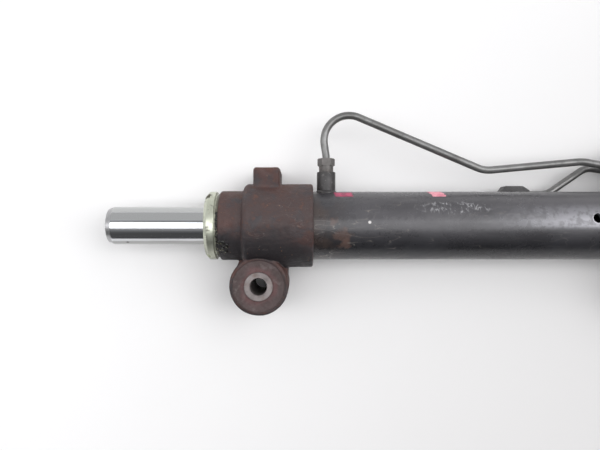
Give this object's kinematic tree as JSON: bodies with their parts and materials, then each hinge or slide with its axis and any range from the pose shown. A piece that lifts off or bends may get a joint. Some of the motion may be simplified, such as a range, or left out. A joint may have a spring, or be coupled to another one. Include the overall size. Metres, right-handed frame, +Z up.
{
  "type": "hydraulic cylinder",
  "caption": "Double-acting through-rod steering cylinder: steel tube between cast brackets with rubber-bushed eyes, chromed rod out of both ends, rigid oil lines to a hose block.",
  "frame": {"origin": "centre of the left mounting eye's bolt hole, halfway along its sleeve", "axes": "+X along the cylinder towards the right end, +Y from the eyes towards the lugs and oil lines, +Z up along the mounting bolts, away from the surface it lies on"},
  "size_m": [0.578, 0.1603, 0.068],
  "materials": {
    "cast_iron": "rusty sand-cast surface, brown with dark sides",
    "tube_paint": "worn semi-gloss black paint",
    "chrome": "polished hard chrome",
    "zinc_plate": "yellowish zinc plate, satin",
    "bush_rubber": "dull weathered rubber",
    "sleeve_steel": "dull bare steel with light rust",
    "shell_steel": "pressed bare steel",
    "line_steel": "plated steel pipe, satin",
    "fitting_black": "matte black weld-on fittings",
    "nut_steel": "dark plated steel",
    "manifold_steel": "machined block, matte black",
    "bolt_zinc": "zinc plated",
    "head_aluminium": "turned, satin",
    "guide_bronze": "bronze-lined bush",
    "seal_rubber": "moulded nitrile",
    "seal_plastic": "filled PTFE ring",
    "piston_steel": "turned steel",
    "spring_steel": "blued spring steel"
  },
  "bodies": {
    "barrel": {"cylinder_tube": "tube_paint", "left_end_casting": "cast_iron", "right_end_casting": "cast_iron", "left_bush_shell": "shell_steel", "right_bush_shell": "shell_steel", "left_bush_rubber": "bush_rubber", "right_bush_rubber": "bush_rubber", "left_end_stop": "zinc_plate", "right_end_stop": "zinc_plate", "left_wiper": "seal_rubber", "right_wiper": "seal_rubber", "left_guide_bush": "guide_bronze", "right_guide_bush": "guide_bronze", "left_rod_head": "head_aluminium", "right_rod_head": "head_aluminium", "left_rod_seal": "seal_rubber", "left_head_o_ring": "seal_rubber", "inner_head": "head_aluminium", "inner_rod_seal": "seal_rubber", "inner_guide_bush": "guide_bronze", "inner_head_o_ring": "seal_rubber", "inner_head_snap_rings": "spring_steel", "left_port_boss": "fitting_black", "right_port_block": "fitting_black", "left_line": "line_steel", "right_line": "line_steel", "left_port_nut": "nut_steel", "left_line_manifold_nut": "nut_steel", "right_line_manifold_nut": "nut_steel", "hose_manifold": "manifold_steel", "front_manifold_washer": "bolt_zinc", "rear_manifold_washer": "bolt_zinc", "front_manifold_bolt": "bolt_zinc", "rear_manifold_bolt": "bolt_zinc"},
    "rod": {"piston_rod": "chrome", "piston": "piston_steel", "piston_seal_ring": "seal_plastic", "piston_seal_expander": "seal_rubber", "piston_static_o_ring": "seal_rubber", "piston_retaining_clips": "spring_steel"},
    "left_sleeve": {"left_bush_sleeve": "sleeve_steel"},
    "right_sleeve": {"right_bush_sleeve": "sleeve_steel"}
  },
  "joints": [
    {"name": "rod_slide", "type": "slide", "parent": "barrel", "child": "rod", "axis": [1, 0, 0], "range_m": [-0.063, 0.063]},
    {"name": "left_bush_twist", "type": "hinge", "parent": "barrel", "child": "left_sleeve", "pos_m": [0, 0, 0], "axis": [0, 0, 1], "range_deg": [-10, 10], "stiffness_Nm_per_rad": 20},
    {"name": "right_bush_twist", "type": "hinge", "parent": "barrel", "child": "right_sleeve", "pos_m": [0.338, 0, 0], "axis": [0, 0, 1], "range_deg": [-10, 10], "stiffness_Nm_per_rad": 20}
  ]
}
